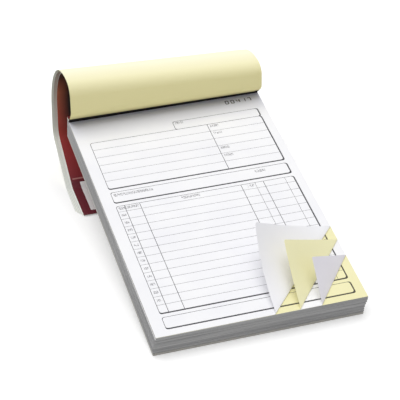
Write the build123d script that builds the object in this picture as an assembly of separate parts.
from build123d import *
import os
from math import ceil, cos, hypot, pi, radians, sin

# A duplicate receipt book, bound along its short head edge, lying open for use.
# The cover and the used leaves are turned over the head, rolled into a loop and
# tucked under the book, so the book leans forward on the loop.
#
# Book frame: X across the page, Y from the free front edge to the bound head,
# Z through the pages.  Millimetres.

# ---- the pages ----
PAGE_WIDTH = 140.0
PAGE_LENGTH = 216.0
LEAF_THICKNESS = 0.10
COVER_THICKNESS = 0.40
BOARD_THICKNESS = 1.80
BLOCK_THICKNESS = 13.8
SET_COUNT = 6                  # bundles of unused sets, each its own node
GATHERINGS_PER_SET = 3         # separate gatherings in one bundle
FAN_SHIFT = 1.3                # the block is pushed askew at its free edge
FAN_CENTRE = 0.55              # height share of the block where the step lies
GATHERING_RIPPLE = 0.25        # uneven edges from gathering to gathering
RIPPLE_SIDE_PHASE = 2.4        # radians from one gathering to the next
RIPPLE_END_PHASE = 1.7
USED_LEAVES = 4                # used duplicates turned over with the cover

# ---- the binding ----
BOUND_DEPTH = 3.2              # page depth held by the binding
PERFORATION_LEAD = 1.6         # the tear line lies this far in front of the binding
CREASE_CLEARANCE = 0.3         # the paper that bends at the tear line
CREASE_INNER_RADIUS = 0.8
TAPE_THICKNESS = 0.30
TAPE_UNDER_DEPTH = 12.0
TAPE_SETBACK = 0.6
STAPLE_WIRE = 0.60
STAPLE_FLATS = 8               # the wire is drawn with flats, eight round it
STAPLE_WIDTH = 12.0
STAPLE_CLINCH = 4.0
STAPLE_SPACING = 70.0
STAPLE_INSET = 1.7
STAPLE_BEND = 0.60
STAPLE_HOLE_CLEARANCE = 0.12

# ---- how the book lies ----
INCLINE_ANGLE = 10.1                 # degrees, the head is held up by the rolled leaves

# ---- the rolled loop, followed from the crease along the outermost leaf ----
CREASE_ANGLE = 56.0
CREASE_FREE_ANGLE = 22.0        # first share of the crease bend, left free to swing
FRONT_RISE = 9.0
NOSE_RADIUS = 7.0
NOSE_ANGLE = 44.1
FRONT_WALL = 9.0
SHOULDER_RADIUS = 9.0
SHOULDER_ANGLE = 78.0
CROWN_RADIUS = 38.0
CROWN_ANGLE = 60.0
BACK_RADIUS = 35.0
BACK_ANGLE = 47.0
BACK_WALL = 16.6
HEEL_RADIUS = 12.0
HEEL_ANGLE = 60.0
LANDING_RADIUS = 18.0
LOOP_TAPER = 0.115             # the loop stands higher at the left, lower at the right
LEAF_PITCH = 0.2               # spacing of the turned leaves at the crease
LEAF_FAN = 0.25                # extra spacing of the turned leaves halfway round
COVER_DRIFT = 5.1              # the free end of the cover slips to the left
LEAF_DRIFT = 6.3               # the free end of the outermost leaf slips further
DRIFT_STEP = 1.05              # each leaf inside it slips this much less
DRIFT_POWER = 1.5              # the slip grows towards the free end
COVER_TRIM = 3.0               # the cover is cut this much narrower, along its left edge
LEAF_TRIM = 3.5                # the outermost leaf, along its right edge
STEP_ANGLE = 12.0
STEP_LENGTH = 14.0

# ---- the corners peeled up at the front right ----
PEEL_ALONG = (60.4, 48.8, 31.8)    # along the front edge, for the three top leaves
PEEL_UP = (66.8, 54.8, 39.2)       # along the right edge
PEEL_ANGLES = (144.0, 133.0, 130.0)
PEEL_RADIUS = 0.4
PEEL_TIP = 0.02                    # share of the flap left blunt at its tip

FLAT_LEAVES = len(PEEL_ANGLES) + 1
PAD_TOP = BOARD_THICKNESS + BLOCK_THICKNESS + FLAT_LEAVES * LEAF_THICKNESS
CREASE_Y = PAGE_LENGTH - BOUND_DEPTH
TEAR_Y = CREASE_Y - PERFORATION_LEAD
COVER_INSET = USED_LEAVES * LEAF_PITCH
COVER_TOP = PAD_TOP + COVER_INSET + COVER_THICKNESS
CREASE_RADIUS = COVER_INSET + COVER_THICKNESS + CREASE_INNER_RADIUS
TEAR_EDGE = TEAR_Y - CREASE_CLEARANCE
HALF_WIDTH = PAGE_WIDTH / 2
FULL_TURN = 360.0


def smooth_step(value):
    """Rise smoothly from 0 to 1 while value goes from 0 to 1."""
    t = min(max(value, 0.0), 1.0)
    return t * t * (3.0 - 2.0 * t)


def lean(shape):
    """Lay a piece of the book down on its incline."""
    return Rot(INCLINE_ANGLE, 0, 0) * shape


def staple_holes():
    """The four square holes that the two staples' legs pass through."""
    side = STAPLE_WIRE + 2 * STAPLE_HOLE_CLEARANCE
    spots = [(sx * STAPLE_SPACING / 2 + lx * STAPLE_WIDTH / 2, PAGE_LENGTH - STAPLE_INSET)
             for sx in (-1, 1) for lx in (-1, 1)]
    reach = COVER_TOP + STAPLE_CLINCH
    return [Pos(x, y, 0) * Box(side, side, 2 * reach) for x, y in spots]


def layer(bottom, thickness, y_start, y_end, shift=0.0):
    """A flat layer of the book, askew by shift at the free edge, pierced by the staples."""
    skew_start = shift * (1 - y_start / PAGE_LENGTH)
    skew_end = shift * (1 - y_end / PAGE_LENGTH)
    outline = Polyline((-HALF_WIDTH + skew_start, y_start), (HALF_WIDTH + skew_start, y_start),
                       (HALF_WIDTH + skew_end, y_end), (-HALF_WIDTH + skew_end, y_end), close=True)
    body = Pos(0, 0, bottom) * extrude(make_face(outline), amount=thickness)
    if y_end > PAGE_LENGTH - STAPLE_INSET:
        body = body - staple_holes()
    return body


def block_shift(share):
    """Sideways shift of the block's free edge at a share of the block's height."""
    return FAN_SHIFT * (smooth_step((share - FAN_CENTRE) * 2 + 0.5) - 1)


def unused_set(index):
    """One bundle of unused sets, its gatherings stepping in and out at the edges."""
    count = SET_COUNT * GATHERINGS_PER_SET
    thick = BLOCK_THICKNESS / count
    bundle = Part()
    for step in range(GATHERINGS_PER_SET):
        number = index * GATHERINGS_PER_SET + step
        shift = block_shift((number + 0.5) / count) + GATHERING_RIPPLE * sin(RIPPLE_SIDE_PHASE * number)
        start = GATHERING_RIPPLE * (1 + cos(RIPPLE_END_PHASE * number)) / 2
        bundle += layer(BOARD_THICKNESS + number * thick, thick, start, PAGE_LENGTH, shift)
    return lean(bundle)


def back_board():
    return lean(layer(0, BOARD_THICKNESS, 0, PAGE_LENGTH, -FAN_SHIFT))


def slab_stack(count, bottom, pitch, thickness, y_start):
    """Thin bound ends lying over each other at the head."""
    ends = [lean(layer(bottom + i * pitch, thickness, y_start, PAGE_LENGTH)) for i in range(count)]
    return Compound(children=ends)


def binding_tape():
    """The strip that wraps the head, from the cover's bound end to the back board."""
    front = CREASE_Y + TAPE_SETBACK
    back = PAGE_LENGTH + TAPE_THICKNESS
    top = COVER_TOP + TAPE_THICKNESS
    under = PAGE_LENGTH - TAPE_UNDER_DEPTH
    profile = Plane.YZ * Polyline((front, COVER_TOP), (PAGE_LENGTH, COVER_TOP), (PAGE_LENGTH, 0),
                                  (under, 0), (under, -TAPE_THICKNESS), (back, -TAPE_THICKNESS),
                                  (back, top), (front, top), close=True)
    strip = extrude(make_face(profile), amount=HALF_WIDTH, both=True)
    return lean(strip - staple_holes())


def staple(side):
    """A wire staple: crown over the tape, legs through the head, ends clinched under it."""
    crown = COVER_TOP + TAPE_THICKNESS + STAPLE_WIRE / 2
    clinch = -TAPE_THICKNESS - STAPLE_WIRE / 2
    half = STAPLE_WIDTH / 2
    path = Plane.XZ * FilletPolyline((-half + STAPLE_CLINCH, clinch), (-half, clinch), (-half, crown),
                                     (half, crown), (half, clinch), (half - STAPLE_CLINCH, clinch),
                                     radius=STAPLE_BEND)
    flats = RegularPolygon(STAPLE_WIRE / 2, STAPLE_FLATS, major_radius=False,
                           rotation=FULL_TURN / STAPLE_FLATS / 2)
    section = Plane(origin=path @ 0, z_dir=path % 0) * flats
    wire = sweep(section, path=path)
    return lean(Pos(side * STAPLE_SPACING / 2, PAGE_LENGTH - STAPLE_INSET, 0) * wire)


def ribbon(sections):
    """One sheet, as a ruled loft through the thin four-cornered sections."""
    faces = [make_face(Polyline(*corners, close=True)) for corners in sections]
    return loft(faces, ruled=True)


def loop_runs():
    """The loop's bends and straights as (radius or None, turn or length), crease first.

    The slope under the book is as long as it takes to bring the leaf down to the table.
    """
    runs = [(CREASE_RADIUS, CREASE_FREE_ANGLE), (CREASE_RADIUS, CREASE_ANGLE - CREASE_FREE_ANGLE),
            (None, FRONT_RISE), (NOSE_RADIUS, NOSE_ANGLE), (None, FRONT_WALL),
            (SHOULDER_RADIUS, SHOULDER_ANGLE), (CROWN_RADIUS, CROWN_ANGLE), (BACK_RADIUS, BACK_ANGLE),
            (None, BACK_WALL), (HEEL_RADIUS, HEEL_ANGLE)]
    last_turn = FULL_TURN + INCLINE_ANGLE - sum(turn for radius, turn in runs if radius)
    height = walk(runs)[-1][2] - LANDING_RADIUS * (1 - cos(radians(last_turn)))
    return runs + [(None, height / sin(radians(last_turn))), (LANDING_RADIUS, last_turn)]


def crease_point():
    """Where the outermost leaf leaves the binding, across the table and above it."""
    tilt = radians(INCLINE_ANGLE)
    return (CREASE_Y * cos(tilt) - PAD_TOP * sin(tilt), CREASE_Y * sin(tilt) + PAD_TOP * cos(tilt))


def walk(runs):
    """Stations (length, y, z, heading) along the outer face of the outermost leaf."""
    y, z = crease_point()
    heading = radians(180 + INCLINE_ANGLE)
    length = 0.0
    stations = [(length, y, z, heading)]
    for radius, amount in runs:
        steps = ceil(amount / (STEP_ANGLE if radius else STEP_LENGTH))
        turn = radians(amount) / steps if radius else 0.0
        chord = 2 * radius * sin(turn / 2) if radius else amount / steps
        for step in range(steps):
            y += chord * cos(heading - turn / 2)
            z += chord * sin(heading - turn / 2)
            heading -= turn
            length += chord
            stations.append((length, y, z, heading))
    return stations


def tapered(z, side):
    """Height in the loop: above the crease it stands higher at the left, side -1."""
    crease_z = crease_point()[1]
    return z if z < crease_z else crease_z + (z - crease_z) * (1 - side * LOOP_TAPER)


def turned_sheet(inset, fan, thickness, drift, left_trim=0.0, right_trim=0.0):
    """A sheet of the rolled loop, inset towards its inside, its end flat on the table.

    The left edge goes the longest way round and keeps the length of the page.
    """
    loop = walk(loop_runs())[ceil(CREASE_FREE_ANGLE / STEP_ANGLE):]
    loop_length = loop[-1][0]
    spots = []
    for length, y, z, heading in loop:
        inner = inset + fan * sin(pi * length / loop_length) ** 2
        spots.append((y + inner * sin(heading), z - inner * cos(heading), heading))
    rail = [(y, tapered(z, -1)) for y, z, heading in spots]
    steps = [0.0] + [hypot(b[0] - a[0], b[1] - a[1]) for a, b in zip(rail, rail[1:])]
    free_bend = (CREASE_RADIUS - inset) * radians(CREASE_FREE_ANGLE)
    tail = PAGE_LENGTH - BOUND_DEPTH - free_bend - sum(steps)
    spots.append((spots[-1][0] - tail, spots[-1][1], spots[-1][2]))
    steps.append(tail)
    sections = []
    run = 0.0
    for (y, z, heading), step in zip(spots, steps):
        run += step
        slip = drift * (run / PAGE_LENGTH) ** DRIFT_POWER
        left = Vector(left_trim - HALF_WIDTH - slip, y, tapered(z, -1))
        right = Vector(HALF_WIDTH - right_trim - slip, y, tapered(z, 1))
        inward = Vector(0, sin(heading), -cos(heading)) * thickness
        sections.append([left, right, right + inward, left + inward])
    landed, end = sections[-2:]
    flat_end = make_face(Polyline(landed[0], landed[1], end[1], end[0], close=True))
    return ribbon(sections[:-1]) + extrude(flat_end, amount=thickness, dir=(0, 0, 1))


def used_duplicate(number):
    """A used duplicate of the loop, number 1 next to the cover and the last outermost."""
    inward = USED_LEAVES - number
    drift = LEAF_DRIFT - inward * DRIFT_STEP
    trim = 0.0 if inward else LEAF_TRIM
    return turned_sheet(inward * LEAF_PITCH, inward * LEAF_FAN, LEAF_THICKNESS, drift, right_trim=trim)


def front_cover():
    """The card cover, innermost in the loop, its printed side facing in."""
    return turned_sheet(COVER_INSET, USED_LEAVES * LEAF_FAN, COVER_THICKNESS, COVER_DRIFT,
                        left_trim=COVER_TRIM)


def leaf_level(number):
    """Underside of a flat leaf, number 0 lying lowest, on the block."""
    return BOARD_THICKNESS + BLOCK_THICKNESS + number * LEAF_THICKNESS


def peeled_leaf(number, along, up, turn):
    """A leaf whose front right corner is creased and stands back up off the page."""
    level = leaf_level(number)
    start = (HALF_WIDTH - along, 0)
    end = (HALF_WIDTH, up)
    page = Polyline((-HALF_WIDTH, 0), start, end, (HALF_WIDTH, TEAR_EDGE), (-HALF_WIDTH, TEAR_EDGE),
                    close=True)
    flat = Pos(0, 0, level) * extrude(make_face(page), amount=LEAF_THICKNESS)
    fold = hypot(along, up)
    reach = along * up / fold
    foot = along * along / fold
    frame = Plane(origin=(*start, level), x_dir=(along, up, 0), z_dir=(0, 0, 1))
    middle = PEEL_RADIUS + LEAF_THICKNESS
    bend = radians(turn)
    steps = ceil(turn / STEP_ANGLE)
    spots = [(middle * angle, angle) for angle in (bend * step / steps for step in range(steps + 1))]
    sections = []
    for distance, angle in spots + [(reach * (1 - PEEL_TIP), bend)]:
        share = distance / reach
        ends = (foot * share, fold - (fold - foot) * share)
        past = max(distance - middle * bend, 0.0)
        out = middle * sin(angle) + past * cos(angle)
        rise = middle * (1 - cos(angle)) + past * sin(angle)
        near_out = out - LEAF_THICKNESS * sin(angle)
        near_rise = rise + LEAF_THICKNESS * cos(angle)
        corners = [(ends[0], out, rise), (ends[1], out, rise),
                   (ends[1], near_out, near_rise), (ends[0], near_out, near_rise)]
        sections.append([frame.from_local_coords((x, -y, z)) for x, y, z in corners])
    return lean(flat + ribbon(sections))


def book():
    """Every piece of the book by name, in the book frame."""
    pieces = {"back_board": back_board()}
    for index in range(SET_COUNT):
        pieces[f"unused_sets_{index + 1}"] = unused_set(index)
    pieces["bound_leaf_ends"] = slab_stack(FLAT_LEAVES, leaf_level(0), LEAF_THICKNESS,
                                           LEAF_THICKNESS, TEAR_Y)
    pieces["used_leaf_ends"] = slab_stack(USED_LEAVES, PAD_TOP, LEAF_PITCH, LEAF_THICKNESS, CREASE_Y)
    pieces["torn_original_stubs"] = slab_stack(USED_LEAVES, PAD_TOP + LEAF_THICKNESS, LEAF_PITCH,
                                               LEAF_PITCH - LEAF_THICKNESS, CREASE_Y)
    pieces["cover_bound_end"] = slab_stack(1, PAD_TOP + COVER_INSET, 0, COVER_THICKNESS, CREASE_Y)
    pieces["binding_tape"] = binding_tape()
    pieces["staples"] = Compound(children=[staple(-1), staple(1)])
    pieces["second_duplicate"] = lean(layer(leaf_level(0), LEAF_THICKNESS, 0, TEAR_EDGE))
    names = ("top_original", "top_duplicate", "second_original")
    for order, name in enumerate(names):
        pieces[name] = peeled_leaf(len(names) - order, PEEL_ALONG[order], PEEL_UP[order],
                                   PEEL_ANGLES[order])
    pieces["front_cover"] = front_cover()
    for number in range(1, USED_LEAVES + 1):
        pieces[f"used_duplicate_{number}"] = used_duplicate(number)
    return pieces


pieces = book()
boxes = [piece.bounding_box() for piece in pieces.values()]
low = [min(getattr(box.min, axis) for box in boxes) for axis in "XYZ"]
high = [max(getattr(box.max, axis) for box in boxes) for axis in "XYZ"]
origin = Pos(-(low[0] + high[0]) / 2, -(low[1] + high[1]) / 2, -low[2])
os.makedirs("parts", exist_ok=True)
for name, piece in pieces.items():
    export_step(origin * piece, f"parts/{name}.step")
print("book frame origin in the part frame:", origin.position)
